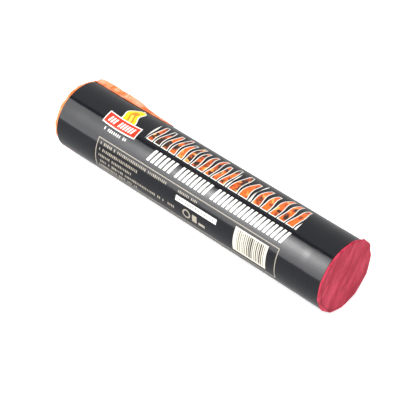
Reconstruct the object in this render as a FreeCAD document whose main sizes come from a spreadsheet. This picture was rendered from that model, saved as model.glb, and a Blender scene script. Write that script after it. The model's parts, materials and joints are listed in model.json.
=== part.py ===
import FreeCAD, Part
import math
import os
import Sketcher

# Hand-held smoke torch: a paper-wrapped card tube, closed by pressed plugs and paper caps.
# Row frame: X along the tube, +X at the handle end, +Z up, the tube lying on its side on Z = 0.
# Every body's own frame has X on the tube's axis and Y pointing at the fuse laid along the side.

DRIVING_SIZES = {
    "tube_length": 210.0,
    "tube_radius": 22.0,
    "tube_wall": 3.0,
    "paper": 0.25,
    "glue_line": 0.02,
    "insert_gap": 0.05,
    "hem_length": 15.0,
    "wrap_step": 1.0,
    "fuse_stand": 3.0,
    "base_stand": 1.2,
    "base_disc_gap": 0.05,
    "plug_length": 12.0,
    "handle_length": 60.0,
    "handle_bore": 4.0,
    "liner_wall": 0.4,
    "charge_length": 114.0,
    "core_radius": 3.5,
    "core_depth": 60.0,
    "first_fire_depth": 3.0,
    "disc_thickness": 3.0,
    "vent_radius": 5.0,
    "vent_ring_radius": 14.0,
    "gland_stand": 0.5,
    "match_radius": 1.2,
    "match_length": 55.0,
    "fuse_radius": 1.2,
    "fuse_gap": 0.1,
    "fuse_bend": 3.0,
    "fuse_reach": 4.0,
    "fuse_tail_length": 33.5,
    "fuse_rest_gap": 0.15,
    "fuse_side": 37.5,
    "seam_lift": 0.2,
    "seam_angle": 69.6,
    "cap_corner": 1.5,
    "base_corner": 0.4,
    "notch_half": 1.5,
    "notch_floor": 19.5,
    "tongue_half": 4.0,
    "tongue_foot": 19.0,
    "tongue_top": 25.2,
    "cover_length": 62.5,
    "cover_start": 0.4,
    "cover_hollow": 35.5,
    "cover_gap": 0.3,
    "cover_paper": 0.4,
    "cover_half": 7.9,
    "tent_half": 4.6,
    "ridge_half": 1.5,
    "ridge_top": 25.7,
    "ridge_slack": 0.05,
}


class Size:
    """A size worked out from the sheet: its value, and the same sum as a formula for setExpression."""

    def __init__(self, value, formula):
        self.value = value
        self.formula = formula

    @staticmethod
    def of(item):
        return item if isinstance(item, Size) else Size(float(item), str(item))

    def __add__(self, other):
        other = Size.of(other)
        return Size(self.value + other.value, f"({self.formula} + {other.formula})")

    def __sub__(self, other):
        other = Size.of(other)
        return Size(self.value - other.value, f"({self.formula} - {other.formula})")

    def __mul__(self, other):
        other = Size.of(other)
        return Size(self.value * other.value, f"({self.formula} * {other.formula})")

    def __truediv__(self, other):
        other = Size.of(other)
        return Size(self.value / other.value, f"({self.formula} / {other.formula})")

    def __neg__(self):
        return self * -1


def height_at(radius, across):
    """How far a circle of this radius stands above its centre, this far to one side of it."""
    gap = radius * radius - across * across
    return Size(math.sqrt(gap.value), f"sqrt({gap.formula})")


doc = FreeCAD.newDocument("smoke_torch")
sheet = doc.addObject("Spreadsheet::Sheet", "sizes")
for row, (alias, number) in enumerate(DRIVING_SIZES.items(), start=1):
    sheet.set(f"A{row}", alias)
    sheet.set(f"B{row}", str(number))
    sheet.setAlias(f"B{row}", alias)
doc.recompute()
size = {name: Size(number, f"sizes.{name}") for name, number in DRIVING_SIZES.items()}
zero = Size.of(0)

# Places along the tube.
total_length = size["tube_length"] + size["fuse_stand"] + size["base_stand"]
fuse_face = -(total_length / 2)
mouth = fuse_face + size["fuse_stand"]
tube_end = mouth + size["tube_length"]
hem_start = tube_end - size["hem_length"]
base_plug_start = tube_end - size["plug_length"]
handle_start = base_plug_start - size["handle_length"]
bulkhead_start = handle_start - size["plug_length"]
charge_start = bulkhead_start - size["charge_length"]
first_fire_start = charge_start - size["first_fire_depth"]
vent_disc_start = mouth + size["disc_thickness"]
fuse_line = mouth - size["fuse_gap"] - size["fuse_radius"]
fuse_inner_end = charge_start + size["fuse_reach"]

# Radii.
hem_inner = size["tube_radius"] + size["glue_line"]
hem_outer = size["tube_radius"] + size["paper"] - size["glue_line"] / 2
wrap_waist = size["tube_radius"] + size["paper"]
wrap_radius = wrap_waist + size["paper"]
tube_bore = size["tube_radius"] - size["tube_wall"]
insert_radius = tube_bore - size["insert_gap"]
charge_radius = insert_radius - size["liner_wall"] - size["insert_gap"]
fuse_rest = wrap_radius + size["fuse_rest_gap"] + size["fuse_radius"]


def new_body(label, start, radial=None):
    """A body whose X axis starts here on the tube's axis, or this far out from it towards the fuse."""
    body = doc.addObject("PartDesign::Body", label)
    body.Label = label
    body.Placement.Rotation = FreeCAD.Rotation(FreeCAD.Vector(1, 0, 0), DRIVING_SIZES["fuse_side"])
    body.setExpression("Placement.Rotation.Angle", "sizes.fuse_side")
    body.setExpression("Placement.Base.x", start.formula)
    out = radial or zero
    body.setExpression("Placement.Base.y", f"{out.formula} * cos(sizes.fuse_side)")
    body.setExpression("Placement.Base.z", f"{wrap_radius.formula} + {out.formula} * sin(sizes.fuse_side)")
    return body


def new_sketch(body, name, plane, offset=None):
    """A sketch on one of the body's own origin planes, or this far in front of it."""
    sketch = body.newObject("Sketcher::SketchObject", f"{body.Label}_{name}")
    support = [item for item in body.Origin.OriginFeatures if item.Role == plane]
    sketch.AttachmentSupport = [(support[0], "")]
    sketch.MapMode = "FlatFace"
    if offset:
        sketch.setExpression("AttachmentOffset.Base.z", offset.formula)
    return sketch


def fix(sketch, kind, value, *points):
    """Add one constraint with a size, bound to the sheet."""
    index = sketch.addConstraint(Sketcher.Constraint(kind, *points, value.value))
    sketch.setExpression(f"Constraints[{index}]", value.formula)


def draw_outline(sketch, corners):
    """A closed outline of straight edges through the corners."""
    corners = [(Size.of(along), Size.of(up)) for along, up in corners]
    points = [FreeCAD.Vector(along.value, up.value, 0) for along, up in corners]
    count = len(points)
    for index, point in enumerate(points):
        sketch.addGeometry(Part.LineSegment(point, points[(index + 1) % count]))
    for index in range(count):
        sketch.addConstraint(Sketcher.Constraint("Coincident", index, 2, (index + 1) % count, 1))
    for index, (along, up) in enumerate(corners):
        fix(sketch, "DistanceX", along, -1, 1, index, 1)
        fix(sketch, "DistanceY", up, -1, 1, index, 1)


def draw_circle(sketch, radius):
    sketch.addGeometry(Part.Circle(FreeCAD.Vector(0, 0, 0), FreeCAD.Vector(0, 0, 1), radius.value))
    sketch.addConstraint(Sketcher.Constraint("Coincident", 0, 3, -1, 1))
    fix(sketch, "Radius", radius, 0)


def turned(label, start, corners, radial=None):
    """A round piece: an outline of (along, radius) corners turned about the body's X axis."""
    body = new_body(label, start, radial)
    sketch = new_sketch(body, "outline", "XY_Plane")
    draw_outline(sketch, corners)
    turn = body.newObject("PartDesign::Revolution", f"{label}_turn")
    turn.Profile = sketch
    turn.ReferenceAxis = (sketch, ["H_Axis"])
    turn.Angle = 360
    return body


def ring(label, start, length, inner, outer):
    """A disc or sleeve: one rectangle turned about the axis."""
    return turned(label, start, [(0, inner), (length, inner), (length, outer), (0, outer)])


def pad(body, name, sketch, length, both_ways=False):
    feature = body.newObject("PartDesign::Pad", f"{body.Label}_{name}")
    feature.Profile = sketch
    feature.Midplane = both_ways
    feature.setExpression("Length", length.formula)
    return feature


def pocket(body, name, sketch, length, both_ways=False):
    """Cut the sketch's outline out of the body, ahead of the sketch or to both sides of it."""
    feature = body.newObject("PartDesign::Pocket", f"{body.Label}_{name}")
    feature.Profile = sketch
    feature.Reversed = not both_ways
    feature.Midplane = both_ways
    feature.setExpression("Length", length.formula)
    return feature


def make_outer_shell():
    """The card tube and the printed wrap, pasted over both caps' hems and lapped opposite the fuse."""
    tube = ring("cardboard_tube", mouth, size["tube_length"], tube_bore, size["tube_radius"])
    length, hem, step = size["tube_length"], size["hem_length"], size["wrap_step"]
    far_hem = length - hem
    waist = (hem + step, far_hem - step)
    label = turned("label_wrap", mouth, [
        (0, wrap_waist), (0, wrap_radius), (hem, wrap_radius), (waist[0], wrap_waist),
        (waist[1], wrap_waist), (far_hem, wrap_radius), (length, wrap_radius), (length, wrap_waist),
        (far_hem, wrap_waist), (waist[1], hem_inner), (waist[0], hem_inner), (hem, wrap_waist),
    ])
    seam = new_sketch(label, "seam", "XY_Plane")
    seam_start, seam_end = hem + step * 0.8, far_hem - step * 0.8
    seam_radius = wrap_waist + size["seam_lift"]
    draw_outline(seam, [
        (seam_start, -wrap_waist), (seam_start, -seam_radius), (seam_end, -seam_radius), (seam_end, -wrap_waist),
    ])
    overlap = label.newObject("PartDesign::Revolution", "label_wrap_overlap")
    overlap.Profile = seam
    overlap.ReferenceAxis = (seam, ["H_Axis"])
    overlap.Midplane = True
    overlap.setExpression("Angle", "sizes.seam_angle")
    return [tube, label]


def make_base_end():
    """The handle end: card disc, crimson paper cap, pressed plug and rolled core."""
    card = size["base_stand"] - size["paper"] - size["base_disc_gap"]
    disc = ring("base_disc", tube_end, card, zero, size["tube_radius"] - size["insert_gap"])
    depth = size["hem_length"] + size["base_stand"]
    corner = size["base_corner"]
    inside = depth - size["paper"]
    cap = turned("base_cap", hem_start, [
        (0, hem_inner), (inside, hem_inner), (inside, 0), (depth, 0),
        (depth, hem_outer - corner), (depth - corner, hem_outer), (0, hem_outer),
    ])
    plug = ring("base_plug", base_plug_start, size["plug_length"], zero, insert_radius)
    core = ring("handle_core", handle_start, size["handle_length"], size["handle_bore"], insert_radius)
    bulkhead = ring("bulkhead_plug", bulkhead_start, size["plug_length"], zero, insert_radius)
    return [disc, cap, plug, core, bulkhead]


def make_charge():
    """The pressed cake in its liner, with its starter layer and the match down its core."""
    liner_length = size["charge_length"] + size["first_fire_depth"]
    liner_inner = insert_radius - size["liner_wall"]
    liner = ring("charge_liner", first_fire_start, liner_length, liner_inner, insert_radius)
    depth, length, core = size["core_depth"], size["charge_length"], size["core_radius"]
    cake = turned("smoke_charge", charge_start, [
        (0, core), (depth, core), (depth, 0), (length, 0), (length, charge_radius), (0, charge_radius),
    ])
    starter = ring("first_fire", first_fire_start, size["first_fire_depth"], core, charge_radius)
    match = ring("core_match", fuse_inner_end, size["match_length"], zero, size["match_radius"])
    return [liner, cake, starter, match]


def make_vent():
    """The mouth: vent disc, its glued ring, and the gland that grips the fuse in the vent."""
    thick = size["disc_thickness"]
    disc = ring("vent_disc", vent_disc_start, thick, size["vent_radius"], insert_radius)
    holder = ring("vent_ring", mouth, thick, size["vent_ring_radius"], insert_radius)
    gland_inner = size["fuse_radius"] + size["insert_gap"]
    gland_outer = size["vent_radius"] - size["insert_gap"]
    gland_start = vent_disc_start - size["gland_stand"]
    gland = ring("fuse_gland", gland_start, thick + size["gland_stand"], gland_inner, gland_outer)
    return [disc, holder, gland]


def make_fuse_root():
    """The fuse from the core out of the gland, round a bend and straight out to the fold at the rim."""
    body = new_body("fuse_root", fuse_line)
    bend, inner_end = size["fuse_bend"], fuse_inner_end - fuse_line
    rim_end = fuse_rest - size["fuse_radius"] - size["fuse_gap"]
    route = new_sketch(body, "route", "XY_Plane")
    corner = FreeCAD.Vector(bend.value, bend.value, 0)
    arc = Part.Circle(corner, FreeCAD.Vector(0, 0, 1), bend.value)
    rim_point = FreeCAD.Vector(0, rim_end.value, 0)
    inner_point = FreeCAD.Vector(inner_end.value, 0, 0)
    route.addGeometry(Part.LineSegment(rim_point, FreeCAD.Vector(0, bend.value, 0)))
    route.addGeometry(Part.ArcOfCircle(arc, math.pi, 1.5 * math.pi))
    route.addGeometry(Part.LineSegment(FreeCAD.Vector(bend.value, 0, 0), inner_point))
    route.addConstraint(Sketcher.Constraint("PointOnObject", 0, 1, -2))
    route.addConstraint(Sketcher.Constraint("Vertical", 0))
    route.addConstraint(Sketcher.Constraint("Tangent", 0, 2, 1, 1))
    route.addConstraint(Sketcher.Constraint("Tangent", 1, 2, 2, 1))
    route.addConstraint(Sketcher.Constraint("PointOnObject", 2, 2, -1))
    route.addConstraint(Sketcher.Constraint("Horizontal", 2))
    fix(route, "Radius", bend, 1)
    fix(route, "DistanceY", rim_end, -1, 1, 0, 1)
    fix(route, "DistanceX", inner_end, -1, 1, 2, 2)
    section = new_sketch(body, "section", "YZ_Plane", inner_end)
    draw_circle(section, size["fuse_radius"])
    pipe = body.newObject("PartDesign::AdditivePipe", "fuse_root_pipe")
    pipe.Profile = section
    pipe.Spine = (route, ["Edge3", "Edge2", "Edge1"])
    return body


def make_fuse_tail():
    """The fuse past its fold: a round-ended rod that turns about the fold's centre."""
    body = new_body("fuse_tail", fuse_line, fuse_rest)
    sketch = new_sketch(body, "outline", "XY_Plane")
    radius, length = size["fuse_radius"], size["fuse_tail_length"]
    circle = Part.Circle(FreeCAD.Vector(0, 0, 0), FreeCAD.Vector(0, 0, 1), radius.value)
    tip = FreeCAD.Vector(length.value, radius.value, 0)
    foot = FreeCAD.Vector(length.value, 0, 0)
    sketch.addGeometry(Part.ArcOfCircle(circle, math.pi / 2, math.pi))
    sketch.addGeometry(Part.LineSegment(FreeCAD.Vector(0, radius.value, 0), tip))
    sketch.addGeometry(Part.LineSegment(tip, foot))
    sketch.addGeometry(Part.LineSegment(foot, FreeCAD.Vector(-radius.value, 0, 0)))
    sketch.addConstraint(Sketcher.Constraint("Coincident", 0, 3, -1, 1))
    sketch.addConstraint(Sketcher.Constraint("Tangent", 0, 1, 1, 1))
    sketch.addConstraint(Sketcher.Constraint("Coincident", 1, 2, 2, 1))
    sketch.addConstraint(Sketcher.Constraint("Coincident", 2, 2, 3, 1))
    sketch.addConstraint(Sketcher.Constraint("Coincident", 3, 2, 0, 2))
    sketch.addConstraint(Sketcher.Constraint("Horizontal", 1))
    sketch.addConstraint(Sketcher.Constraint("Vertical", 2))
    sketch.addConstraint(Sketcher.Constraint("PointOnObject", 2, 2, -1))
    sketch.addConstraint(Sketcher.Constraint("PointOnObject", 3, 2, -1))
    fix(sketch, "Radius", radius, 0)
    fix(sketch, "DistanceX", length, -1, 1, 2, 2)
    turn = body.newObject("PartDesign::Revolution", "fuse_tail_turn")
    turn.Profile = sketch
    turn.ReferenceAxis = (sketch, ["H_Axis"])
    turn.Angle = 360
    return body


def make_end_cap():
    """The orange paper cap: a cup with a notch where the fuse crosses the rim, and a tongue before it."""
    paper, stand, corner = size["paper"], size["fuse_stand"], size["cap_corner"]
    depth = stand + size["hem_length"]
    shoulder = size["tube_radius"] - size["glue_line"]
    face_radius = shoulder - corner
    body = turned("end_cap", fuse_face, [
        (0, 0), (0, face_radius), (corner, shoulder), (stand, hem_outer), (depth, hem_outer),
        (depth, hem_inner), (stand, hem_inner), (corner, shoulder - paper),
        (paper, face_radius - paper / 2), (paper, 0),
    ])
    floor, half = size["notch_floor"], size["notch_half"]
    above = wrap_radius
    notch = new_sketch(body, "notch", "XY_Plane")
    draw_outline(notch, [(paper, floor), (stand, floor), (stand, above), (paper, above)])
    pocket(body, "notch_cut", notch, half * 2, both_ways=True)
    tongue = new_sketch(body, "tongue", "XY_Plane")
    foot, top = size["tongue_foot"], size["tongue_top"]
    draw_outline(tongue, [(0, foot), (paper, foot), (paper, top), (0, top)])
    pad(body, "tongue_pad", tongue, size["tongue_half"] * 2, both_ways=True)
    return body


def make_fuse_cover():
    """The orange paper strip: a tent over the fuse with two flat edges, pinched flat past its tip."""
    body = new_body("fuse_cover", fuse_face + size["cover_start"])
    inner = wrap_radius + size["cover_gap"]
    outer = inner + size["cover_paper"]
    edge, tent, ridge = size["cover_half"], size["tent_half"], size["ridge_half"]
    paper = size["cover_paper"]
    inner_tent, inner_edge, inner_ridge = tent - paper, edge - paper / 4, ridge - paper / 2

    def mirrored(half):
        """The whole outline from its half on the +Z side, top to bottom."""
        return half + [(up, -across) for up, across in reversed(half)]

    bottom = [(height_at(inner, inner_edge), inner_edge), (height_at(inner, inner_tent), inner_tent)]
    solid = new_sketch(body, "solid", "YZ_Plane")
    draw_outline(solid, mirrored([
        (size["ridge_top"], ridge), (height_at(outer, tent), tent), (height_at(outer, edge), edge), *bottom,
    ]))
    pad(body, "strip", solid, size["cover_length"])
    ceiling = size["ridge_top"] - paper - size["ridge_slack"]
    hollow = new_sketch(body, "hollow", "YZ_Plane")
    draw_outline(hollow, mirrored([(ceiling, inner_ridge), bottom[1], (size["tube_radius"], inner_tent)]))
    pocket(body, "fuse_room", hollow, size["cover_hollow"])
    pinch = new_sketch(body, "pinch", "XY_Plane")
    start, end, over = size["cover_hollow"], size["cover_length"], size["ridge_top"] + 1
    draw_outline(pinch, [(start, size["ridge_top"]), (end, outer), (end, over), (start, over)])
    pocket(body, "pinch_cut", pinch, edge * 2, both_ways=True)
    return body


nodes = make_outer_shell() + make_base_end() + make_charge() + make_vent()
nodes += [make_fuse_root(), make_fuse_tail(), make_end_cap(), make_fuse_cover()]
doc.recompute()

for item in doc.Objects:
    if {"Invalid", "Error"} & set(item.State):
        raise RuntimeError(f"{item.Label} did not build: {item.State}")
for node in nodes:
    if node.Shape.isNull() or not node.Shape.isValid() or len(node.Shape.Solids) != 1:
        raise RuntimeError(f"{node.Label} has no single valid solid")

os.makedirs("parts", exist_ok=True)
for node in nodes:
    node.Shape.exportStep(f"parts/{node.Label}.step")
    box = node.Shape.BoundBox
    print(f"{node.Label:16s} {node.Shape.Volume:10.1f} mm3  x {box.XMin:8.2f} {box.XMax:8.2f}"
          f"  y {box.YMin:7.2f} {box.YMax:7.2f}  z {box.ZMin:7.2f} {box.ZMax:7.2f}")
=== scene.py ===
"""A hand-held smoke torch: paper caps, a printed wrap and a fuse under a peel-off strip."""

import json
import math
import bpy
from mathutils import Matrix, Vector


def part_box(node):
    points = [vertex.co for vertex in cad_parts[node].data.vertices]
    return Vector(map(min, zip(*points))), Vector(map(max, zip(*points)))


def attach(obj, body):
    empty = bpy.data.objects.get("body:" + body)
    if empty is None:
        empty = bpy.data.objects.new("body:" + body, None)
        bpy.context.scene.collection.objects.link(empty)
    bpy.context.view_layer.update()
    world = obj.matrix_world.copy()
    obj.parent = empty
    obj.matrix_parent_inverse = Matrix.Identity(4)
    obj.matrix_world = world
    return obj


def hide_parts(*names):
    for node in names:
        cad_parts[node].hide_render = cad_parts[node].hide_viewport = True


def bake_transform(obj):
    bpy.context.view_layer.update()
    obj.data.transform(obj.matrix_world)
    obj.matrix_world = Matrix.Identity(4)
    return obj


bl_info = {
    "name": "Smoke torch",
    "version": (1, 0, 0),
    "blender": (4, 2, 0),
    "location": "View3D > Sidebar > Smoke torch",
    "description": "Models a printed smoke torch around its CAD frame",
    "category": "Object",
}

import bmesh
import bpy
from mathutils import Matrix, Vector, noise

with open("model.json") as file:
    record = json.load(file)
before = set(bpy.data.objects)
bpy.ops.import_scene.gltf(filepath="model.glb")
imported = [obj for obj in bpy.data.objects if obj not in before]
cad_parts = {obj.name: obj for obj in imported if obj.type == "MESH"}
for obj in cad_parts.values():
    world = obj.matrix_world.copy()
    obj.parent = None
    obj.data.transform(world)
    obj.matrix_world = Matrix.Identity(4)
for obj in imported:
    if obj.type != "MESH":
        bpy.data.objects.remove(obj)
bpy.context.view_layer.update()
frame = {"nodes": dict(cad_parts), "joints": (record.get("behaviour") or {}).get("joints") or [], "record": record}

MM = 0.001
TO_MM = 1000
WRAP_LOW, WRAP_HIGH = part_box("label_wrap")
AXIS_Z = (WRAP_LOW.z + WRAP_HIGH.z) / 2
CAP_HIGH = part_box("base_cap")[1]
COVER_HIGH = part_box("fuse_cover")[1]
ROOT_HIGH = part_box("fuse_root")[1]
TAIL_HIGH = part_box("fuse_tail")[1]
HINGE = {joint["name"]: joint for joint in frame["joints"]}
PEEL_AXIS = Vector(HINGE["cover_peel"]["axis"])
FUSE_SIDE = math.atan2(-PEEL_AXIS.y, PEEL_AXIS.z)
OUTWARD = Vector((0, math.cos(FUSE_SIDE), math.sin(FUSE_SIDE)))
ROUND = 288
PAPER_SMOOTH = math.radians(60)


def ink(red, green, blue):
    """A colour given as a printer would, 0 to 255, as the linear colour a shader takes."""

    def linear(level):
        level /= 255
        if level <= 0.04045:
            return level / 12.92
        return ((level + 0.055) / 1.055) ** 2.4

    return linear(red), linear(green), linear(blue), 1.0


def length(name, description, default):
    return bpy.props.FloatProperty(
        name=name, description=description, default=default, unit="LENGTH", precision=5
    )


def colour(name, description, default):
    return bpy.props.FloatVectorProperty(
        name=name,
        description=description,
        default=default,
        size=4,
        subtype="COLOR",
        min=0,
        max=1,
    )


class TorchSizes(bpy.types.PropertyGroup):
    """Sizes of the pieces"""

    wrap_radius: length("Wrap radius", "Outside of the printed wrap", 22.5 * MM)
    wrap_waist: length("Wrap waist", "Outside of the wrap between its hems", 22.4 * MM)
    wrap_start: length("Wrap start", "Wrap edge at the fuse end", WRAP_LOW.x)
    wrap_end: length("Wrap end", "Wrap edge at the handle end", WRAP_HIGH.x)
    hem: length("Hem", "Width of the wrap's double hems", 15 * MM)
    cap_face: length("Cap face", "Outer face of the handle cap", CAP_HIGH.x)
    fuse_face: length("Fuse face", "Outer face of the fuse end", -CAP_HIGH.x)
    cap_radius: length("Cap radius", "Paper cap beside the wrap", 22.8 * MM)
    strip_end: length("Strip end", "Where the fuse strip runs out", COVER_HIGH.x)
    strip_half: length("Strip half width", "Half the fuse strip's width", 7.9 * MM)
    ridge: length("Ridge", "Top of the strip over the fuse", 25.7 * MM)
    paper: length("Paper", "Thickness of the crepe paper", 0.22 * MM)
    fuse_radius: length("Fuse radius", "Half the fuse's diameter", 1.2 * MM)


class TorchColours(bpy.types.PropertyGroup):
    """Colours of the pieces"""

    film: colour("Film", "Black of the printed wrap", ink(19, 20, 25))
    white: colour("White ink", "Bars and outlines", ink(236, 234, 228))
    cream: colour("Cream ink", "Fine print and frame", ink(160, 152, 138))
    red: colour("Red ink", "Badge banner", ink(222, 52, 30))
    yellow: colour("Yellow ink", "Badge flame", ink(240, 214, 20))
    blaze: colour("Blaze ink", "Bright part of the flames", ink(240, 104, 34))
    ember: colour("Ember ink", "Dark part of the flames", ink(52, 34, 26))
    crimson: colour("Crimson paper", "Handle cap", ink(200, 40, 72))
    # partly the cap's darker dye, partly painted shade in its wrinkles' hollows and folds
    crimson_dye_and_fold_shade: colour("Deep crimson", "Folds of the handle cap", ink(154, 22, 48))
    orange: colour("Orange paper", "Fuse end and strip", ink(255, 146, 78))
    # partly the paper's darker dye, partly painted shade in its wrinkles' hollows and folds
    orange_dye_and_fold_shade: colour("Deep orange", "Folds of the orange paper", ink(240, 96, 34))
    fuse: colour("Fuse green", "Lacquered fuse braid", ink(38, 96, 44))


class StageSettings(bpy.types.PropertyGroup):
    """Camera and light"""

    azimuth: bpy.props.FloatProperty(
        name="Azimuth", description="Camera heading", default=math.radians(43.46), subtype="ANGLE"
    )
    elevation: bpy.props.FloatProperty(
        name="Elevation", description="Camera height", default=math.radians(41.29), subtype="ANGLE"
    )
    lens: bpy.props.FloatProperty(name="Lens", description="Focal length in mm", default=150.6)
    distance: length("Distance", "Camera to the middle of the wrap", 0.985)
    aside: length("Aside", "Camera moved to its right", -3.8 * MM)
    above: length("Above", "Camera moved upwards", -5.2 * MM)
    panel: bpy.props.FloatProperty(
        name="Panel", description="Brightness of the soft panel", default=2.5
    )
    glow: bpy.props.FloatProperty(
        name="Glow", description="Extra brightness at the panel's middle", default=10.0
    )
    overhead: bpy.props.FloatProperty(
        name="Overhead", description="Brightness of the overhead light", default=1.0
    )
    room: bpy.props.FloatProperty(
        name="Room", description="Brightness of the white room", default=0.6
    )


# ---------------------------------------------------------------- finishes


class Wire:
    """A number carried by a shader socket. Arithmetic on it adds Math nodes."""

    def __init__(self, finish, socket):
        self.finish, self.socket = finish, socket

    def math(self, operation, *values):
        return self.finish.node(
            "ShaderNodeMath", {"operation": operation}, dict(enumerate(values))
        )

    def __add__(self, other):
        return self.math("ADD", self, other)

    def __sub__(self, other):
        return self.math("SUBTRACT", self, other)

    def __rsub__(self, other):
        return self.math("SUBTRACT", other, self)

    def __mul__(self, other):
        return self.math("MULTIPLY", self, other)

    def __truediv__(self, other):
        return self.math("DIVIDE", self, other)

    def __gt__(self, other):
        return self.math("GREATER_THAN", self, other)

    def __lt__(self, other):
        return self.math("LESS_THAN", self, other)

    def __or__(self, other):
        return self.math("MAXIMUM", self, other)

    def __and__(self, other):
        return self.math("MINIMUM", self, other)

    def __abs__(self):
        return self.math("ABSOLUTE", self)

    def floor(self):
        return self.math("FLOOR", self)

    def fraction(self):
        return self.math("FRACT", self)

    def sine(self):
        return self.math("SINE", self)

    def root(self):
        return self.math("SQRT", self)

    __radd__ = __add__
    __rmul__ = __mul__


class Finish:
    """A material built from nodes."""

    def __init__(self, name):
        self.material = bpy.data.materials.new(name)
        self.material.use_nodes = True
        self.tree = self.material.node_tree
        self.shader = self.tree.nodes["Principled BSDF"]

    def node(self, kind, settings=None, values=None, output=0):
        made = self.tree.nodes.new(kind)
        for key, value in (settings or {}).items():
            if key == "stops":
                ramp = made.color_ramp
                while len(ramp.elements) < len(value):
                    ramp.elements.new(1.0)
                for stop, (position, shade) in zip(ramp.elements, value):
                    stop.position, stop.color = position, shade
            elif key == "interpolation" and kind == "ShaderNodeValToRGB":
                made.color_ramp.interpolation = value
            else:
                setattr(made, key, value)
        for key, value in (values or {}).items():
            self.feed(made.inputs[key], value)
        return Wire(self, made.outputs[output])

    def feed(self, socket, value):
        if isinstance(value, Wire):
            self.tree.links.new(value.socket, socket)
        else:
            socket.default_value = value

    def set(self, **sockets):
        """Sets the shader's own sockets, with underscores for the spaces in their names."""
        for key, value in sockets.items():
            self.feed(self.shader.inputs[key.replace("_", " ")], value)

    def place(self):
        """Object coordinates in millimetres: x, y, and z from the tube's axis."""
        spot = self.node("ShaderNodeTexCoord", output="Object")
        made = self.node("ShaderNodeSeparateXYZ", values={0: spot}).socket.node
        x, y, z = (Wire(self, made.outputs[i]) * TO_MM for i in range(3))
        return x, y, z - AXIS_Z * TO_MM

    def point(self, x, y=0.0, z=0.0):
        return self.node("ShaderNodeCombineXYZ", values={0: x, 1: y, 2: z})

    def noise(self, point, scale=1.0, detail=2.0, roughness=0.5):
        return self.node(
            "ShaderNodeTexNoise",
            values={"Vector": point, "Scale": scale, "Detail": detail, "Roughness": roughness},
        )

    def dice(self, seed):
        """A number between 0 and 1 drawn for a seed."""
        return self.node("ShaderNodeTexWhiteNoise", {"noise_dimensions": "1D"}, {"W": seed})

    def span(self, value, low, high, to_low=0.0, to_high=1.0):
        return self.node(
            "ShaderNodeMapRange",
            values={"Value": value, 1: low, 2: high, 3: to_low, 4: to_high},
        )

    def mix(self, factor, first, second):
        return self.node(
            "ShaderNodeMix", {"data_type": "RGBA"}, {0: factor, 6: first, 7: second}, 2
        )

    def bump(self, height, distance, strength=1.0, under=None):
        values = {"Height": height, "Distance": distance, "Strength": strength}
        if under is not None:
            values["Normal"] = under
        return self.node("ShaderNodeBump", values=values)

    def cover(self, distance, soft=0.06):
        """1 where a distance is below 0 and 0 above it, with a soft edge in millimetres."""
        return self.span(distance, -soft, soft, 1.0, 0.0)


def block(u, v, left, right, top, bottom):
    """Distance in millimetres outside a rectangle of the print."""
    across = abs(u - (left + right) / 2) - (right - left) / 2
    down = abs(v - (top + bottom) / 2) - (bottom - top) / 2
    return across | down


def fine_print(finish, u, v, left, ends, top, line, height, pitch, seed):
    """Lines of tiny blocks that stand for fine print; ends gives each line's length."""
    longest = 200
    row = ((v - top) / line).floor()
    down = v - top - row * line
    stops = [(i / len(ends), (end / longest,) * 3 + (1,)) for i, end in enumerate(ends)]
    end = finish.node(
        "ShaderNodeValToRGB",
        {"interpolation": "CONSTANT", "stops": stops},
        {0: (row + 0.5) / len(ends)},
    )
    column = (u - left) / pitch
    cell = column.floor()
    draw = finish.dice(cell + row * 57.0 + seed)
    inside = abs(column - cell - 0.45) - 0.17 - draw * 0.13
    tall = abs(down - height / 2) - height * (0.32 + draw * 0.12)
    mark = finish.cover(inside * pitch | tall, 0.12) * (draw > 0.13)
    return mark * (u > left) * (u < end * longest) * (row > -0.5) * (row < len(ends) - 0.5)


def bars_in_runs(u, v, spans, middle, half):
    """Distance outside rows of slanting bars: spans gives each run's start, end and count."""
    distance = None
    slant = 0.3
    slanted = u + (v - middle) * slant
    for start, stop, count in spans:
        pitch = (stop - start) / count
        column = (slanted - start) / pitch
        edge = (abs(column - column.floor() - 0.5) - 0.3) * pitch
        within = abs(slanted - (start + stop) / 2) - (stop - start) / 2
        piece = edge | within
        distance = piece if distance is None else distance & piece
    return distance | abs(v - middle) - half


def flames(finish, u, v, spans, foot, tall):
    """Distance outside a row of swaying flame tongues of uneven height above a foot line."""
    distance = None
    uneven = 0.24
    height = foot - v
    for start, stop, count in spans:
        pitch = (stop - start) / count
        sway = (v * 0.38 + u * 0.11).sine() * 0.55
        column = (u - height * 0.05 + sway - start) / pitch
        cell = column.floor()
        draw = finish.dice(cell + start * 3.1)
        across = abs(column - cell - 0.5) * pitch
        reach = draw * uneven * tall + (1 - uneven) * tall
        left = finish.span(height, 0.0, reach, 1.0, 0.1)
        girth = left.root() * (pitch / 2 - 0.92)
        piece = across - girth | height - reach | 0 - height
        within = abs(u - (start + stop) / 2) - (stop - start) / 2 - 0.6
        piece = piece | within
        distance = piece if distance is None else distance & piece
    return distance


def flame_row(finish, colours, u, v, paint):
    """The row of flames in a white outline, with white bars under it."""
    white = tuple(colours.white)
    tongues = (63.2, 126.4, 11), (128.3, 143.2, 2), (145.6, 179.0, 5)
    row = flames(finish, u, v, tongues, foot=19.0, tall=18.6)
    fill, outline = finish.cover(row), finish.cover(row - 0.52)
    heat = finish.noise(finish.point(u, v), 0.16, 2.0, 0.55)
    heat = finish.span(heat + u * 0.0012, 0.56, 0.72)
    blaze = finish.mix(heat, tuple(colours.ember), tuple(colours.blaze))
    pale = finish.noise(finish.point(v, u, 4.0), 0.3, 1.0)
    blaze = finish.mix(finish.span(pale, 0.6, 0.75), blaze, ink(255, 176, 88))
    paint = finish.mix(outline, paint, white)
    paint = finish.mix(fill, paint, blaze)
    runs = (72.2, 92.4, 6), (94.9, 120.1, 8), (123.2, 178.9, 18)
    bars = bars_in_runs(u, v, runs, middle=26.4, half=4.0)
    return finish.mix(finish.cover(bars), paint, white)


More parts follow.
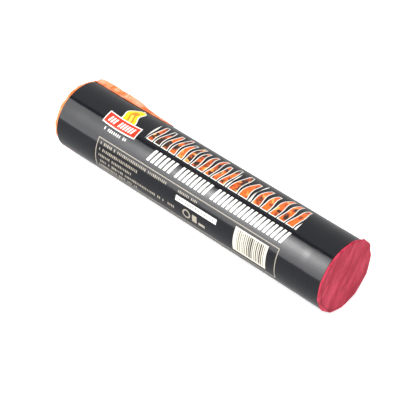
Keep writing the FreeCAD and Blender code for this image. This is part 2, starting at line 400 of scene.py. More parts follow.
def badge(finish, colours, u, v, paint):
    """A flame over a bowed banner with bars on it and small blocks under it."""
    white = tuple(colours.white)
    bow = v + (u - 43.4) * (u - 43.4) * 0.0042
    banner = block(u, bow, 30.8, 56.2, 17.1, 24.2)
    rise = finish.span(v, 1.6, 17.0)
    sway = (v * 0.5).sine() * 1.0 + 43.8
    girth = rise.root() * (1.16 - rise * 0.3)
    flame = abs(u - sway) - girth * 5.9 | 1.2 - v | v - 18.6
    paint = finish.mix(finish.cover(flame - 0.75), paint, white)
    paint = finish.mix(finish.cover(flame), paint, tuple(colours.yellow))
    core = abs(u - sway - 0.4) - girth * 2.9 | 6.2 - v | v - 18
    paint = finish.mix(finish.cover(core), paint, ink(236, 140, 28))
    heart = abs(u - sway - 0.4) - girth * 1.1 | 10.2 - v | v - 18
    paint = finish.mix(finish.cover(heart), paint, ink(250, 226, 80))
    paint = finish.mix(finish.cover(banner - 0.7), paint, white)
    paint = finish.mix(finish.cover(banner), paint, tuple(colours.red))
    runs = (33.2, 39.6, 3), (41.6, 53.8, 6)
    bars = bars_in_runs(u, bow, runs, middle=20.7, half=2.0)
    paint = finish.mix(finish.cover(bars), paint, white)
    small = fine_print(
        finish, u, bow, left=34.2, ends=(53.0,), top=26.3, line=3.0, height=2.2, pitch=1.55, seed=3.0
    )
    return finish.mix(small, paint, white)


def data_panel(finish, colours, u, v, paint):
    """A framed panel of fine print with a white label, plain marks and a block of bars."""
    cream = tuple(colours.cream)
    frame_line = abs(block(u, v, 34.2, 178.0, 33.6, 54.6)) - 0.27
    upper_ends, lower_ends = (92, 69, 66, 100.5, 69), (170, 174, 166, 172, 120, 0)
    upper = fine_print(
        finish, u, v, left=36.4, ends=upper_ends, top=35.1, line=3.98, height=2.3, pitch=1.42, seed=11.0
    )
    number = fine_print(
        finish, u, v, left=100.9, ends=(116.0,), top=35.3, line=3.0, height=1.9, pitch=1.3, seed=5.0
    )
    lower = fine_print(
        finish, u, v, left=36.4, ends=lower_ends, top=57.2, line=3.1, height=1.7, pitch=1.15, seed=23.0
    )
    sheet = finish.cover(frame_line) | upper | number | lower
    paint = finish.mix(sheet, paint, cream)
    label = block(u, v, 100.6, 132.8, 38.9, 42.3)
    paint = finish.mix(finish.cover(label), paint, tuple(colours.white))
    dashes = fine_print(
        finish, u, v, left=102.0, ends=(131.0,), top=39.6, line=3.0, height=1.8, pitch=1.25, seed=8.0
    )
    paint = finish.mix(dashes, paint, ink(84, 82, 80))
    marks = (u - 110.0) * (u - 110.0) + (v - 47.4) * (v - 47.4)
    marks = abs(marks.root() - 2.6) - 0.45
    marks = marks & block(u, v, 114.6, 118.2, 45.2, 50.2)
    marks = marks & block(u, v, 119.6, 124.6, 48.2, 50.2)
    paint = finish.mix(finish.cover(marks), paint, cream)
    ground = block(u, v, 146.4, 171.2, 35.6, 52.0)
    paint = finish.mix(finish.cover(ground), paint, ink(214, 208, 194))
    column = (u - 148.4) / 1.34
    draw = finish.dice(column.floor() + 71.3)
    bars = finish.cover(abs(column.fraction() - 0.5) - (draw * 0.32 + 0.1), 0.08)
    bars = bars * finish.cover(block(u, v, 148.4, 169.9, 36.6, 50.6))
    return finish.mix(bars, paint, ink(52, 48, 46))


def printed_film(colours):
    """Black gloss film with the flame row and its bars, the badge and the data panel.
    u runs along the tube from the wrap's edge, and v round it, both in mm."""
    finish = Finish("Printed film")
    x, y, z = finish.place()
    u = x - WRAP_LOW.x * TO_MM
    radius, middle, half = 22.5, math.radians(120), math.radians(60)
    turn = finish.node(
        "ShaderNodeMath",
        {"operation": "ARCTAN2"},
        {
            0: z * math.cos(middle) - y * math.sin(middle),
            1: y * math.cos(middle) + z * math.sin(middle),
        },
    )
    v = turn * radius + radius * half
    paint = tuple(colours.film)
    for part in (flame_row, badge, data_panel):
        paint = part(finish, colours, u, v, paint)

    # a little dust and fine scuffing along the tube
    scuff = finish.noise(finish.point(u * 0.05, v * 0.9), 1.4, 6.0, 0.65)
    scuff = finish.span(scuff, 0.62, 0.8)
    paint = finish.mix(scuff * 0.05, paint, ink(150, 150, 152))
    swell = finish.noise(finish.point(u * 0.35, v), 0.22, 3.0, 0.5)
    grain = finish.noise(finish.point(u, v), 3.0, 2.0)
    finish.set(
        Base_Color=paint,
        Roughness=finish.span(scuff + grain * 0.4, 0.0, 1.0, 0.10, 0.24),
        IOR=1.5,
        Normal=finish.bump(swell + grain * 0.01, 0.12 * MM, 0.5),
    )
    return finish.material


def rim_fold_shade(finish, y, z, cloud):
    """1 where a cap's rim gets painted shade: along the crease inside the rim, on the side away from the fuse, and
    in the small notch where the paper is tucked in.
    """
    rim = (y * y + z * z).root() + cloud * 0.8
    crease_shade = finish.cover(abs(rim - 21.05) - 0.2, 0.34) * finish.span(0 - y, 1.0, 8.0)
    notch_shade = (y - 20.6) * (y - 20.6) * 0.3 + (z - 6.9) * (z - 6.9)
    return crease_shade | finish.cover(notch_shade.root() - 0.5, 0.5)


def crepe(name, paper, dark_dye_and_fold_shade, pale, along, painted_sheen, crease=0.0):
    """Crepe paper: close parallel wrinkles, cloudy colour with painted shade in the wrinkles' hollows, and a soft
    sheen with a painted highlight. along is the wrinkles' angle, the sheen argument how far the raised ones go to
    the pale colour as a painted highlight, and crease the strength of the painted shade along a crease inside the
    rim."""
    finish = Finish(name)
    x, y, z = finish.place()
    across = y * math.cos(along) + z * math.sin(along)
    other = z * math.cos(along) - y * math.sin(along)
    wrinkle = finish.noise(finish.point(across * 2.2, other * 0.22, x * 0.9), 1.0, 4.0, 0.6)
    cloud = finish.noise(finish.point(across * 1.8, other * 0.5, x), 0.11, 3.0, 0.6)
    fibre = finish.noise(finish.point(x, y, z), 7.0, 3.0, 0.7)
    # the wrinkles' hollows go to the dark colour as painted shade; the cloud and fibre add the paper's real uneven
    # dye
    shade = finish.span(wrinkle * 0.8 + cloud * 0.55 + fibre * 0.3, 0.66, 1.0)
    paint = finish.mix(shade, tuple(dark_dye_and_fold_shade), tuple(paper))
    # painted highlight: the raised wrinkles and the cloud's bright patches go towards the pale colour, as a sheen
    # would light them
    painted_highlight = finish.span(cloud + wrinkle * 0.35, 0.62, 0.86) * painted_sheen
    paint = finish.mix(painted_highlight, paint, pale)
    # painted shade along the crease inside the rim and in its notch
    if crease:
        paint = finish.mix(rim_fold_shade(finish, y, z, cloud) * crease, paint, ink(96, 14, 34))
    finish.set(
        Base_Color=paint,
        Roughness=finish.span(wrinkle, 0.3, 0.7, 0.62, 0.82),
        IOR=1.45,
        Normal=finish.bump(wrinkle + fibre * 0.15, 0.3 * MM, 0.85),
    )
    return finish.material


def fuse_braid(colours):
    """Green lacquered fuse with a fine spiral of threads, and painted shade in the grooves between them."""
    finish = Finish("Fuse braid")
    spread = finish.node("ShaderNodeUVMap", {"uv_map": "Braid"})
    made = finish.node("ShaderNodeSeparateXYZ", values={0: spread}).socket.node
    run, round_it = (Wire(finish, made.outputs[i]) for i in range(2))
    thread = ((run * 700 + round_it * 6).fraction() - 0.5) * 2
    counter = ((run * 420 - round_it * 4).fraction() - 0.5) * 2
    weave = (1 - thread * thread) * 0.7 + (1 - counter * counter) * 0.3
    # painted shade: the grooves between the threads go to a near-black green
    thread_colour_and_groove_shade = finish.mix(finish.span(weave, 0.2, 0.9), ink(14, 40, 20), tuple(colours.fuse))
    finish.set(
        Base_Color=thread_colour_and_groove_shade,
        Roughness=finish.span(weave, 0.0, 1.0, 0.5, 0.34),
        Normal=finish.bump(weave, 0.08 * MM, 0.8),
    )
    return finish.material


def rolled_card(name, light, dark, turns):
    """Spiral-wound card: slanted seams, grey flecks and a fibrous face."""
    finish = Finish(name)
    x, y, z = finish.place()
    strip = 42
    turn = finish.node("ShaderNodeMath", {"operation": "ARCTAN2"}, {0: z, 1: y})
    seam = abs((x / strip + turn * turns).fraction() - 0.5)
    seam = finish.cover(seam * strip - 0.25, 0.12)
    fibre = finish.noise(finish.point(x * 0.6, y * 2.0, z * 2.0), 1.6, 5.0, 0.7)
    paint = finish.mix(finish.span(fibre, 0.3, 0.7), dark, light)
    paint = finish.mix(seam * 0.5, paint, ink(88, 66, 44))
    finish.set(
        Base_Color=paint,
        Roughness=0.85,
        Normal=finish.bump(fibre - seam * 0.6, 0.15 * MM, 0.6),
    )
    return finish.material


def pressed(name, light, dark, grain):
    """Pressed powder or clay: coarse grains with a dull face."""
    finish = Finish(name)
    x, y, z = finish.place()
    spot = finish.point(x, y, z)
    grit = finish.noise(spot, grain, 5.0, 0.7)
    cloud = finish.noise(spot, grain * 0.12, 3.0)
    paint = finish.mix(finish.span(grit * 0.7 + cloud * 0.5, 0.35, 0.85), dark, light)
    finish.set(
        Base_Color=paint,
        Roughness=finish.span(grit, 0.3, 0.7, 0.78, 0.95),
        Normal=finish.bump(grit, 0.25 * MM, 0.7),
    )
    return finish.material


# ---------------------------------------------------------------- modelling


def put_down():
    """Leaves edit mode with nothing selected."""
    active = bpy.context.object
    if active is not None and active.mode == "EDIT":
        bpy.ops.object.mode_set(mode="OBJECT")
    bpy.ops.object.select_all(action="DESELECT")


def pick_up(piece):
    """Leaves one piece selected and active, in object mode."""
    put_down()
    bpy.context.view_layer.objects.active = piece
    piece.select_set(True)


def modified(piece, name, kind, **settings):
    """Adds a modifier with its settings and applies it."""
    bpy.context.view_layer.objects.active = piece
    modifier = piece.modifiers.new(name, kind)
    for key, value in settings.items():
        setattr(modifier, key, value)
    bpy.ops.object.modifier_apply(modifier=modifier.name)


def turned(name, profile, joined=False):
    """A shell turned round the tube's axis, ring by ring, from points (x, radius) in mm.
    A joined profile closes on its first ring; any other has both ends filled."""
    put_down()
    x, radius = profile[0]
    bpy.ops.mesh.primitive_circle_add(
        vertices=ROUND,
        radius=radius * MM,
        fill_type="NOTHING",
        location=(x * MM, 0, AXIS_Z),
        rotation=(0, math.pi / 2, 0),
    )
    piece = bpy.context.object
    piece.name = piece.data.name = name
    bpy.ops.object.transform_apply(location=True, rotation=True, scale=True)
    bpy.ops.object.mode_set(mode="EDIT")
    bpy.ops.mesh.select_mode(type="VERT")
    bpy.ops.mesh.select_all(action="SELECT")
    if not joined:
        bpy.ops.mesh.edge_face_add()
        bpy.ops.mesh.normals_make_consistent(inside=False)
    extrude = bpy.ops.mesh.extrude_edges_move if joined else bpy.ops.mesh.extrude_region_move
    for (x0, r0), (x1, r1) in zip(profile, profile[1:]):
        extrude(TRANSFORM_OT_translate={"value": ((x1 - x0) * MM, 0, 0)})
        if r1 != r0:
            bpy.ops.transform.resize(
                value=(1, r1 / r0, r1 / r0), center_override=(x1 * MM, 0, AXIS_Z)
            )
    if joined:
        bpy.ops.mesh.select_all(action="SELECT")
        bpy.ops.mesh.remove_doubles(threshold=1e-6)
    bpy.ops.mesh.select_all(action="SELECT")
    bpy.ops.mesh.normals_make_consistent(inside=False)
    return piece


def cut_spans(piece, longer, cuts):
    """In edit mode, puts even cuts across the spans longer than a length in mm."""
    bpy.ops.mesh.select_all(action="DESELECT")
    bpy.ops.mesh.select_mode(type="EDGE")
    mesh = bmesh.from_edit_mesh(piece.data)
    for edge in mesh.edges:
        run = abs(edge.verts[0].co.x - edge.verts[1].co.x)
        edge.select_set(run > longer * MM)
    bmesh.update_edit_mesh(piece.data)
    bpy.ops.mesh.subdivide(number_cuts=cuts)


def on_tube(x, radius, angle):
    """The point at x and radius in mm and at an angle round the tube's axis."""
    return (
        x * MM,
        radius * math.cos(angle) * MM,
        radius * math.sin(angle) * MM + AXIS_Z,
    )


def shaped(piece, move):
    """Moves every point: move takes x, radius and angle in mm and radians and gives them back."""
    put_down()
    for vertex in piece.data.vertices:
        x, y, z = vertex.co.x / MM, vertex.co.y / MM, (vertex.co.z - AXIS_Z) / MM
        vertex.co = on_tube(*move(x, math.hypot(y, z), math.atan2(z, y)))
    piece.data.update()


def dressed(piece, material, smooth=math.radians(40)):
    """Gives a piece its finish and smooth shading."""
    pick_up(piece)
    piece.data.materials.clear()
    piece.data.materials.append(material)
    bpy.ops.object.shade_smooth_by_angle(angle=smooth)
    put_down()
    return piece


def ease(value, low, high):
    """0 below low, 1 above high and a smooth step between them."""
    step = min(max((value - low) / (high - low), 0.0), 1.0)
    return step * step * (3 - 2 * step)


def ripple(x, y, z=0.0):
    """Smooth noise between about -1 and 1."""
    return noise.noise(Vector((x, y, z)))


def on_rings(x, radius, rings):
    """Whether a point lies on one of the rings given as (x, radius)."""
    return any(abs(x - ring_x) + abs(radius - ring_r) < 0.005 for ring_x, ring_r in rings)


def facets(angle, corners):
    """How far a flat between irregular corners lies inside a circle of radius 1."""
    degrees = math.degrees(angle) % 360
    stops = sorted(corners)
    stops = [stops[-1] - 360] + stops + [stops[0] + 360]
    for low, high in zip(stops, stops[1:]):
        if low <= degrees < high:
            half = math.radians(high - low) / 2
            off = math.radians(degrees - low) - half
            return 1 - math.cos(half) / math.cos(off)
    return 0.0


# ---------------------------------------------------------------- pieces


class TORCH_OT_printed_wrap(bpy.types.Operator):
    """Adds the glossy printed wrap with its hems and overlap"""

    bl_idname = "torch.printed_wrap"
    bl_label = "Printed wrap"

    def execute(self, context):
        sizes = context.scene.torch_sizes
        start, end = sizes.wrap_start / MM, sizes.wrap_end / MM
        hem, outer, waist = sizes.hem / MM, sizes.wrap_radius / MM, sizes.wrap_waist / MM
        under, inner, lip = 22.27, 22.03, 0.08
        profile = [
            (start, under),
            (start, outer - lip),
            (start + lip, outer),
            (start + hem - 2.5, outer),
            (start + hem + 5.5, waist),
            (end - hem - 1.4, waist),
            (end - hem + 0.6, outer),
            (end - lip, outer),
            (end, outer - lip),
            (end, under),
            (end - hem + 0.2, under),
            (end - hem - 0.8, inner),
            (start + hem + 0.8, inner),
            (start + hem - 0.2, under),
            (start, under),
        ]
        piece = turned("printed_wrap", profile, joined=True)
        cut_spans(piece, longer=100, cuts=59)
        cut_spans(piece, longer=10, cuts=6)

        # the wrap swells at one angle and drops off at the other by the sheet's thickness
        overlap, seam, sheet = math.radians(-62), math.radians(-32), 0.14

        def move(x, radius, angle):
            rise = ease(angle, overlap, overlap + 0.08) * (angle < seam) * sheet
            outside = ease(radius, inner + 0.1, waist - 0.02)
            swell = ripple(x * 0.022, angle * 2.2, 1.0) * 0.035
            swell += ripple(x * 0.05, angle * 5.0, 7.0) * 0.012
            near = ease(x, end - 26, end)
            skew = near * (0.35 - 0.65 * math.sin(angle))
            return x - near * 0.35 + skew * 0.8, radius + outside * (rise + swell), angle

        shaped(piece, move)
        dressed(piece, printed_film(context.scene.torch_colours))
        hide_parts("label_wrap")
        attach(piece, "torch")
        return {"FINISHED"}


class TORCH_OT_handle_cap(bpy.types.Operator):
    """Adds the crimson paper cap at the handle end"""

    bl_idname = "torch.handle_cap"
    bl_label = "Handle cap"

    def execute(self, context):
        sizes, colours = context.scene.torch_sizes, context.scene.torch_colours
        face, side = sizes.cap_face / MM, sizes.cap_radius / MM
        edge = sizes.wrap_end / MM
        inside = [(face - 0.28, 21.97), (edge, 22.04), (edge - 14, 22.04)]
        profile = inside + [
            (edge - 14, 22.2),
            (edge - 2, 22.2),
            (edge - 0.4, 22.2),
            (edge - 0.1, side),
            (edge + 0.3, side + 0.1),
            (edge + 0.65, side + 0.08),
            (face - 0.25, side - 0.05),
            (face - 0.08, side - 0.25),
            (face, side - 0.6),
            (face, side - 1.1),
            (face, side - 1.5),
            (face, side - 1.9),
            (face, side - 2.4),
        ]
        profile += [(face, radius) for radius in (19.6, 18, 16, 14, 12, 10, 8, 6, 4, 2)]
        piece = turned("handle_cap", profile)
        corners = (4, 27, 49, 78, 104, 133, 157, 186, 214, 241, 268, 297, 331)

        def move(x, radius, angle):
            if on_rings(x, radius, inside):
                return x, radius, angle
            degrees = math.degrees(angle)
            shown = ease(x, edge - 0.4, edge + 0.1)
            flat = facets(angle, corners) * radius * shown * ease(radius, 14, 21.5) * 0.8
            high = ease(degrees, 12, 30) * (1 - ease(degrees, 66, 92))
            lift = high * shown * ease(radius, 17, 21.6) * 1.0
            notch = math.exp(-(((degrees - 17) / 3.2) ** 2)) * ease(radius, 18.5, 21.0)
            pleat = ripple(angle * 14, x * 0.4, 3.0) * 0.14 * ease(radius, 19, 21.5) * shown
            disc = ease(x, face - 0.3, face - 0.05)
            dish = ripple(radius * math.cos(angle) * 0.09, radius * math.sin(angle) * 0.09)
            crease = math.exp(-(((radius - 20.75 - 0.35 * math.sin(angle * 2)) / 0.28) ** 2))
            crease *= 0.15 * ease(degrees % 360, 95, 120) * (1 - ease(degrees % 360, 205, 235))
            x += disc * (dish * 0.10 - crease - notch * 0.2)
            return x, radius - flat + lift + pleat - notch * 0.3 * shown, angle

        shaped(piece, move)
        material = crepe(
            "Crimson crepe",
            colours.crimson,
            colours.crimson_dye_and_fold_shade,
            # the pale colour and the sheen strength below make a painted highlight on the raised wrinkles
            ink(232, 104, 128),
            along=math.radians(-32),
            painted_sheen=0.22,
            # strength of the painted shade in the rim's crease and notch
            crease=0.85,
        )
        dressed(piece, material, PAPER_SMOOTH)
        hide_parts("base_cap")
        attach(piece, "torch")
        return {"FINISHED"}


class TORCH_OT_fuse_cap(bpy.types.Operator):
    """Adds the orange paper cap over the fuse end"""

    bl_idname = "torch.fuse_cap"
    bl_label = "Fuse end cap"

    def execute(self, context):
        sizes, colours = context.scene.torch_sizes, context.scene.torch_colours
        face, edge = sizes.fuse_face / MM, sizes.wrap_start / MM
        inside = [
            (face + 0.25, 20.3),
            (face + 1.3, 21.0),
            (edge - 0.35, 21.3),
            (edge - 0.02, 22.04),
            (edge + 14, 22.04),
        ]
        profile = inside + [
            (edge + 14, 22.22),
            (edge + 0.3, 22.22),
            (edge - 0.1, 22.3),
            (edge - 1.0, 22.32),
            (face + 1.2, 22.1),
            (face + 0.6, 21.75),
            (face + 0.22, 21.3),
            (face + 0.05, 20.8),
            (face, 20.2),
        ]
        disc = (19.2, 18, 16.5, 15, 13, 11, 9, 7, 5, 3.4, 2.2)
        profile += [(face, radius) for radius in disc]
        piece = turned("fuse_end_cap", profile)
        corners = (12, 37, 61, 88, 109, 137, 166, 188, 219, 246, 275, 304, 333)

        def move(x, radius, angle):
            if on_rings(x, radius, inside):
                return x, radius, angle
            shown = 1 - ease(x, edge - 0.3, edge + 0.1)
            flat = facets(angle, corners) * radius * shown * ease(radius, 15, 21.5) * 0.8
            pleat = ripple(math.cos(angle) * 9, math.sin(angle) * 9, x * 0.3)
            pleat *= 0.22 * shown * ease(radius, 18, 21.3)
            onface = 1 - ease(x, face + 0.02, face + 0.4)
            off = radius * math.sin(angle - FUSE_SIDE)
            out = radius * math.cos(angle - FUSE_SIDE)
            over_fuse = math.exp(-((off / 1.5) ** 2)) * ease(out, -1.5, 1.5)
            folds = ripple(math.cos(angle) * 5, math.sin(angle) * 5, radius * 0.05)
            folds *= 0.30 * ease(radius, 2, 12)
            x -= onface * (over_fuse * 0.55 + folds * 0.6)
            return x, radius - flat + pleat, angle

        shaped(piece, move)
        material = crepe(
            "Orange crepe",
            colours.orange,
            colours.orange_dye_and_fold_shade,
            # the pale colour and the sheen strength below make a painted highlight on the raised wrinkles
            ink(255, 200, 176),
            along=math.radians(20),
            painted_sheen=0.4,
        )
        dressed(piece, material, PAPER_SMOOTH)
        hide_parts("end_cap")
        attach(piece, "torch")
        return {"FINISHED"}


class TORCH_OT_fuse_strip(bpy.types.Operator):
    """Adds the orange strip that folds over the rim and tents over the fuse"""

    bl_idname = "torch.fuse_strip"
    bl_label = "Fuse strip"

    def execute(self, context):
        sizes, colours = context.scene.torch_sizes, context.scene.torch_colours
        face, tip = sizes.fuse_face / MM, sizes.strip_end / MM
        ridge, half = sizes.ridge / MM, sizes.strip_half / MM
        # x and radius of the strip's flanges and of its ridge, and its half width
        stations = [
            (face - 0.15, 17.0, face - 0.5, 17.0, 3.2),
            (face - 0.15, 18.6, face - 0.62, 18.8, 3.8),
            (face - 0.15, 20.2, face - 0.66, 20.8, 4.6),
            (face - 0.05, 21.3, face - 0.6, 22.6, 5.6),
            (face + 0.5, 22.2, face - 0.35, 24.0, 6.6),
            (face + 1.4, 22.62, face + 0.5, 24.9, 7.3),
            (face + 2.8, 22.8, face + 2.2, 25.35, half),
            (face + 5.0, 22.72, face + 4.6, ridge, half),
            (face + 9, 22.7, face + 9, ridge, half),
            (face + 15, 22.7, face + 15, ridge - 0.05, half),
            (face + 22, 22.68, face + 22, ridge - 0.1, half),
            (face + 29, 22.68, face + 29, ridge - 0.25, half),
            (face + 36, 22.66, face + 36, ridge - 0.65, half - 0.1),
            (face + 40, 22.66, face + 40, ridge - 1.7, half - 0.3),
            (face + 46, 22.66, face + 46, ridge - 2.3, half - 0.6),
            (face + 53, 22.66, face + 53, 23.05, half - 1.0),
            (tip - 3.5, 22.64, tip - 3, 22.85, half - 1.6),
            (tip - 1.0, 22.62, tip, 22.7, half - 3.0),
        ]
        columns, lie = 20, 22.8
        put_down()
        bpy.ops.mesh.primitive_grid_add(
            x_subdivisions=len(stations) - 1, y_subdivisions=columns, size=2
        )
        piece = bpy.context.object
        piece.name = piece.data.name = "fuse_strip"
        for vertex in piece.data.vertices:
            row = round((vertex.co.x + 1) / 2 * (len(stations) - 1))
            low_x, low_r, top_x, top_r, width = stations[row]
            across = vertex.co.y
            t = across * width
            tent = 1 - ease(abs(t), 0.9, 4.7)
            x = low_x + (top_x - low_x) * tent
            radius = low_r + (top_r - low_r) * tent
            angle = FUSE_SIDE - t / lie
            if row < 5:
                spread = math.hypot(radius, t)
                angle = FUSE_SIDE - math.atan2(t, radius)
                radius = spread if spread < 22.3 else radius
            vertex.co = on_tube(x, radius, angle)
        modified(piece, "Smooth", "SUBSURF", levels=3, render_levels=3)

        def move(x, radius, angle):
            t = (FUSE_SIDE - angle) * radius
            side = ease(x, face + 1, face + 6)
            rough = 0.25 + 0.75 * ease(abs(t), 0.6, 3.0)
            crease = ripple(x * 0.42, t * 0.12, 2.0) * 0.30 * rough
            crease -= abs(ripple(x * 0.16 + t * 0.05, t * 0.3, 9.0)) * 0.34 * rough
            crease *= 1 - 0.8 * ease(abs(t), 4.8, 6.0)
            edge = ripple(x * 0.22, 5.0 if t > 0 else 8.0) * 0.5 * ease(abs(t), 4.8, 7.9)
            angle -= math.copysign(edge / lie, t)
            dent = math.exp(-(((x - face - 19) / 1.6) ** 2)) * 0.35 * ease(t, -3.0, -0.6)
            return x, radius + side * (crease - dent), angle

        shaped(piece, move)
        pick_up(piece)
        bpy.ops.object.mode_set(mode="EDIT")
        bpy.ops.mesh.select_all(action="SELECT")
        mesh = bmesh.from_edit_mesh(piece.data)
        mesh.normal_update()
        if sum(face.normal.dot(OUTWARD) for face in mesh.faces) < 0:
            bpy.ops.mesh.flip_normals()
        bpy.ops.object.mode_set(mode="OBJECT")
        modified(piece, "Paper", "SOLIDIFY", thickness=sizes.paper, offset=1)
        material = crepe(
            "Orange strip crepe",
            colours.orange,
            colours.orange_dye_and_fold_shade,
            # the pale colour and the sheen strength below make a painted highlight on the raised wrinkles
            ink(255, 200, 176),
            along=math.radians(90),
            painted_sheen=0.6,
        )
        dressed(piece, material, PAPER_SMOOTH)
        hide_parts("fuse_cover")
        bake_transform(piece)
        return {"FINISHED"}


def braid_map(piece, total):
    """Maps the straight fuse: metres along it, and turns round it."""
    layer = piece.data.uv_layers.new(name="Braid")
    for polygon in piece.data.polygons:
        spots = [
            piece.data.vertices[piece.data.loops[index].vertex_index].co
            for index in polygon.loop_indices
        ]
        turns = [math.atan2(co.y, co.x) / math.tau for co in spots]
        wide = max(turns) - min(turns) > 0.5
        for index, co, turn in zip(polygon.loop_indices, spots, turns):
            if wide and turn < 0:
                turn += 1
            layer.data[index].uv = (co.z + total / 2, turn)


class TORCH_OT_fuse(bpy.types.Operator):
    """Adds the lacquered fuse, from under the cap round its bend to its free tail"""

    bl_idname = "torch.fuse"
    bl_label = "Fuse"

    def execute(self, context):
        sizes, colours = context.scene.torch_sizes, context.scene.torch_colours
        lift = Vector(HINGE["fuse_lift"]["pos_m"])
        axis = Vector((lift.x, 0, AXIS_Z))
        top = (lift - axis).dot(OUTWARD)
        bend, turn_in = 1.6 * MM, 3 * MM
        level = ROOT_HIGH.x - axis.x - turn_in
        first_arc, arc = turn_in * math.pi / 2, bend * math.pi / 2
        straight = top - bend - turn_in
        rise = level + first_arc
        over = rise + straight
        total = over + arc + TAIL_HIGH.x - (lift.x + bend)
        put_down()
        bpy.ops.mesh.primitive_cylinder_add(
            vertices=24, radius=sizes.fuse_radius, depth=total, end_fill_type="TRIFAN"
        )
        piece = bpy.context.object
        piece.name = piece.data.name = "fuse"
        bpy.ops.object.mode_set(mode="EDIT")
        bpy.ops.mesh.select_mode(type="EDGE")
        bpy.ops.mesh.select_all(action="DESELECT")
        mesh = bmesh.from_edit_mesh(piece.data)
        for wire in mesh.edges:
            wire.select_set(abs(wire.verts[0].co.z - wire.verts[1].co.z) > total / 2)
        bmesh.update_edit_mesh(piece.data)
        bpy.ops.mesh.subdivide(number_cuts=239)
        bpy.ops.object.mode_set(mode="OBJECT")
        braid_map(piece, total)
        ahead = Vector((1, 0, 0))
        side = ahead.cross(OUTWARD)

        def route(along):
            """The middle of the fuse at a length from its inner end, and the way out of its bends."""
            if along < rise:
                swing = max(along - level, 0) / turn_in
                across = OUTWARD * -math.cos(swing) - ahead * math.sin(swing)
                pivot = axis + (ahead + OUTWARD) * turn_in
                return pivot + across * turn_in + ahead * max(level - along, 0), across
            if along < over:
                return axis + OUTWARD * (turn_in + along - rise), -ahead
            if along < over + arc:
                swing = (along - over) / bend
                across = OUTWARD * math.sin(swing) - ahead * math.cos(swing)
                return axis + OUTWARD * (top - bend) + ahead * bend + across * bend, across
            return lift + ahead * (bend + along - over - arc), OUTWARD

        rib, winding, threads = 0.045, 4400, 6
        for vertex in piece.data.vertices:
            along = vertex.co.z + total / 2
            turn = math.atan2(vertex.co.y, vertex.co.x)
            girth = math.hypot(vertex.co.x, vertex.co.y)
            if girth > 0:
                girth *= 1 - rib + rib * math.sin(along * winding + turn * threads)
            p, q = girth * math.cos(turn), girth * math.sin(turn)
            spot, across = route(along)
            vertex.co = spot + across * p + side * q
        piece.data.update()
        pick_up(piece)
        bpy.ops.object.mode_set(mode="EDIT")
        bpy.ops.mesh.select_all(action="SELECT")
        bpy.ops.mesh.normals_make_consistent(inside=False)
        dressed(piece, fuse_braid(colours), math.radians(50))
        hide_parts("fuse_root", "fuse_tail")
        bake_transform(piece)
        return {"FINISHED"}


class TORCH_OT_inner_finishes(bpy.types.Operator):
    """Gives the card, clay and charge inside the tube their finishes"""

    bl_idname = "torch.inner_finishes"
    bl_label = "Inner finishes"

    def execute(self, context):
        card = rolled_card("Tube card", ink(168, 142, 108), ink(132, 106, 78), 1.0)
        kraft = rolled_card("Kraft roll", ink(182, 146, 100), ink(146, 110, 72), -0.6)
        clay = pressed("Pressed clay", ink(196, 190, 180), ink(150, 142, 130), 1.6)
        cake = pressed("Pressed cake", ink(226, 142, 66), ink(184, 98, 40), 1.1)
        starter = pressed("Starter layer", ink(70, 66, 62), ink(34, 32, 30), 2.4)
        strand = pressed("Match strand", ink(120, 116, 110), ink(60, 56, 52), 3.0)
        gland = pressed("Soft gland", ink(120, 90, 62), ink(86, 62, 40), 2.0)
        finishes = {
            "tube_card": card,
            "kraft_roll": kraft,
            "pressed_clay": clay,
            "pressed_cake": cake,
            "starter_layer": starter,
            "match_strand": strand,
            "soft_gland": gland,
        }
        for subpart in frame["record"]["subparts"]:
            finish = finishes.get(subpart["material_slot"])
            node = frame["nodes"][subpart["node"]]
            if finish is not None and not node.hide_render:
                node.data.materials.clear()
                node.data.materials.append(finish)
        return {"FINISHED"}


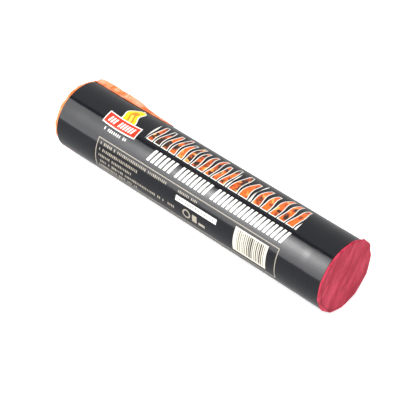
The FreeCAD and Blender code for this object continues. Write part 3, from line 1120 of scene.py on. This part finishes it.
class TORCH_OT_stage(bpy.types.Operator):
    """Adds the pale floor, the soft light and the camera"""

    bl_idname = "torch.stage"
    bl_label = "Stage"

    def execute(self, context):
        settings = context.scene.torch_stage
        put_down()
        bpy.ops.mesh.primitive_plane_add(size=6, location=(0, 0, -0.02 * MM))
        floor = bpy.context.object
        floor.name = "floor"
        paint = Finish("Floor paint")
        paint.set(
            Base_Color=(0.93, 0.93, 0.93, 1),
            Roughness=0.9,
            Emission_Color=(1, 1, 1, 1),
            Emission_Strength=0.5,
        )
        floor.data.materials.append(paint.material)
        floor.visible_glossy = False

        world = bpy.data.worlds.new("White room")
        context.scene.world = world
        world.use_nodes = True
        world.node_tree.nodes["Background"].inputs["Color"].default_value = (1, 1, 1, 1)
        world.node_tree.nodes["Background"].inputs["Strength"].default_value = settings.room

        # the soft panel the wrap mirrors as its pale band, and its bright middle: each layer is
        # (lean round the tube, x, reach, width, height, brightness)
        glow = settings.glow
        layers = (
            (143.4, -0.604, 1.0, 1.2, 1.4, settings.panel),
            (140.5, -0.51, 0.99, 0.62, 1.10, 0.07 * glow),
            (136.5, -0.51, 0.98, 0.44, 0.85, 0.14 * glow),
            (133.5, -0.50, 0.97, 0.32, 0.62, 0.23 * glow),
            (132.4, -0.49, 0.96, 0.22, 0.38, 0.35 * glow),
            (132.0, -0.49, 0.95, 0.12, 0.18, 0.46 * glow),
        )
        for number, (lean, x, reach, wide, tall, brightness) in enumerate(layers):
            lean = math.radians(lean)
            out = Vector((0, math.cos(lean), math.sin(lean)))
            bpy.ops.object.light_add(type="AREA", location=out * reach + Vector((x, 0, AXIS_Z)))
            panel = bpy.context.object
            panel.name = f"soft_panel_{number}"
            panel.data.shape = "ELLIPSE" if number else "RECTANGLE"
            panel.data.size, panel.data.size_y = wide, tall
            area = wide * tall * (math.pi / 4 if number else 1)
            panel.data.energy = brightness * math.pi * area
            panel.rotation_euler = Matrix(
                ((1, 0, 0), (0, out.z, out.y), (0, -out.y, out.z))
            ).to_euler()

        # a dark flag along the panel's upper edge, which only the gloss mirrors
        lean = math.radians(102.2)
        bpy.ops.mesh.primitive_plane_add(
            size=1,
            location=(-0.55, 0.93 * math.cos(lean), AXIS_Z + 0.93 * math.sin(lean)),
            rotation=(lean - math.pi / 2, 0, 0),
        )
        flag = bpy.context.object
        flag.name = "flag"
        flag.scale = (1.7, 0.13, 1)
        black = Finish("Black flag")
        black.set(Base_Color=(0.01, 0.01, 0.01, 1), Roughness=1.0)
        flag.data.materials.append(black.material)
        flag.visible_camera = flag.visible_diffuse = flag.visible_shadow = False

        bpy.ops.object.light_add(type="AREA", location=(0.3, 0.2, 1.6))
        above = bpy.context.object
        above.name = "overhead"
        above.data.shape = "SQUARE"
        above.data.size = 2.6
        above.data.energy = settings.overhead * math.pi * 2.6 * 2.6
        above.visible_glossy = False

        bpy.ops.object.camera_add()
        camera = bpy.context.object
        camera.name = "camera"
        camera.data.lens, camera.data.sensor_width = settings.lens, 36
        heading, height = settings.azimuth, settings.elevation
        back = Vector(
            (
                math.sin(heading) * math.cos(height),
                -math.cos(heading) * math.cos(height),
                math.sin(height),
            )
        )
        turn = (-back).to_track_quat("-Z", "Y")
        middle = Vector((0.9 * MM, 0, AXIS_Z))
        right, up = turn @ Vector((1, 0, 0)), turn @ Vector((0, 1, 0))
        camera.rotation_mode = "QUATERNION"
        camera.rotation_quaternion = turn
        camera.location = (
            middle + back * settings.distance + right * settings.aside + up * settings.above
        )
        context.scene.camera = camera
        context.scene.view_settings.view_transform = "Standard"
        return {"FINISHED"}


class TORCH_PT_panel(bpy.types.Panel):
    """Lists the torch's pieces, sizes and colours"""

    bl_label = "Smoke torch"
    bl_idname = "TORCH_PT_panel"
    bl_space_type = "VIEW_3D"
    bl_region_type = "UI"
    bl_category = "Smoke torch"

    def draw(self, context):
        for group in (
            context.scene.torch_sizes,
            context.scene.torch_colours,
            context.scene.torch_stage,
        ):
            box = self.layout.box()
            for name in group.__annotations__:
                box.prop(group, name)
        for operator in OPERATORS:
            self.layout.operator(operator.bl_idname)


OPERATORS = (
    TORCH_OT_stage,
    TORCH_OT_printed_wrap,
    TORCH_OT_handle_cap,
    TORCH_OT_fuse_cap,
    TORCH_OT_fuse_strip,
    TORCH_OT_fuse,
    TORCH_OT_inner_finishes,
)
CLASSES = (TorchSizes, TorchColours, StageSettings, *OPERATORS, TORCH_PT_panel)


def register():
    for item in CLASSES:
        bpy.utils.register_class(item)
    bpy.types.Scene.torch_sizes = bpy.props.PointerProperty(type=TorchSizes)
    bpy.types.Scene.torch_colours = bpy.props.PointerProperty(type=TorchColours)
    bpy.types.Scene.torch_stage = bpy.props.PointerProperty(type=StageSettings)


def unregister():
    del bpy.types.Scene.torch_stage
    del bpy.types.Scene.torch_colours
    del bpy.types.Scene.torch_sizes
    for item in reversed(CLASSES):
        bpy.utils.unregister_class(item)


def main():
    register()
    for operator in OPERATORS:
        getattr(bpy.ops.torch, operator.bl_idname.split(".")[1])()


if __name__ == "__main__":
    main()
